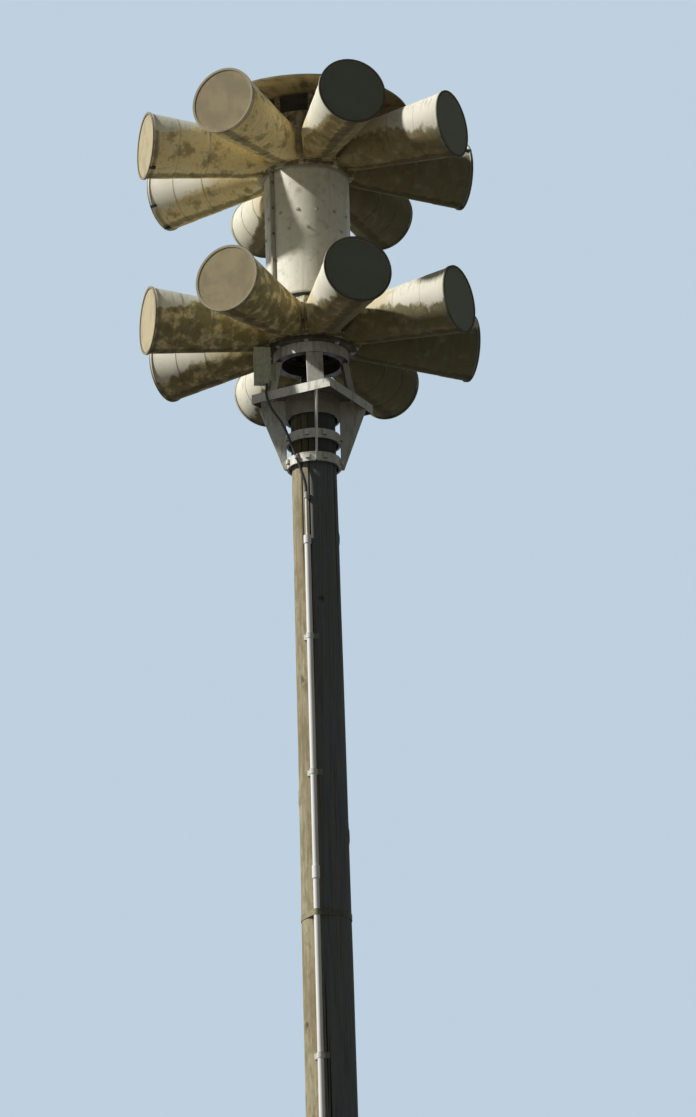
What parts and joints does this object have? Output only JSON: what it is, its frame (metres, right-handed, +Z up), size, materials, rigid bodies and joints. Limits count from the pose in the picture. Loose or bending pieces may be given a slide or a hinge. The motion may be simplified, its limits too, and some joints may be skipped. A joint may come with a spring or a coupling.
{
  "type": "pole-mounted civil defense siren",
  "caption": "Electric warning siren with two tiers of round-mouthed horns, a motor housing and a hood, on a square bracket at the top of a round timber pole.",
  "frame": {"origin": "centre of the pole's butt at ground level", "axes": "+Z up along the pole; one horn of each tier points along -Y, and the bracket plate's sides are square to X and Y"},
  "size_m": [1.874, 1.874, 12.344],
  "materials": {
    "weathered_timber": "weathered, checked, tan to dark grey",
    "galvanised_steel": "dull galvanised, dusty",
    "painted_housing": "pale grey paint, dirt streaks",
    "hood_paint": "olive brown dirt on pale paint",
    "rotor_metal": "dull cast",
    "motor_metal": "dark paint",
    "horn_shell": "cream glass-fibre shell, mottled algae and dirt",
    "screen_wire": "dull wire mesh",
    "box_paint": "grey-green paint",
    "cable_jacket": "black jacket",
    "clamp_metal": "dull galvanised",
    "pale_tube": "pale grey",
    "white_plastic": "white, slightly chalked"
  },
  "bodies": {
    "root": {"pole": "weathered_timber", "bracket_bottom_band": "galvanised_steel", "bracket_middle_band": "galvanised_steel", "bracket_collar": "galvanised_steel", "bracket_gussets": "galvanised_steel", "bracket_plate": "galvanised_steel", "stand_legs": "galvanised_steel", "stand_ring": "galvanised_steel", "lower_intake_plate": "painted_housing", "lower_stator": "painted_housing", "lower_rotor": "rotor_metal", "motor": "motor_metal", "motor_cover_front": "painted_housing", "motor_cover_back": "painted_housing", "upper_stator": "painted_housing", "upper_rotor": "rotor_metal", "upper_intake_collar": "painted_housing", "hood_posts": "painted_housing", "hood": "hood_paint", "upper_screens": "screen_wire", "lower_screens": "screen_wire", "junction_box": "box_paint", "feed_cable": "cable_jacket", "cable_clamps": "clamp_metal", "cable_tube": "pale_tube", "conduit": "white_plastic", "conduit_couplings": "white_plastic", "conduit_straps": "clamp_metal", "pole_band": "clamp_metal", "upper_horn_1": "horn_shell", "upper_horn_2": "horn_shell", "upper_horn_3": "horn_shell", "upper_horn_4": "horn_shell", "upper_horn_5": "horn_shell", "upper_horn_6": "horn_shell", "upper_horn_7": "horn_shell", "upper_horn_8": "horn_shell", "lower_horn_1": "horn_shell", "lower_horn_2": "horn_shell", "lower_horn_3": "horn_shell", "lower_horn_4": "horn_shell", "lower_horn_5": "horn_shell", "lower_horn_6": "horn_shell", "lower_horn_7": "horn_shell", "lower_horn_8": "horn_shell"}
  },
  "joints": []
}
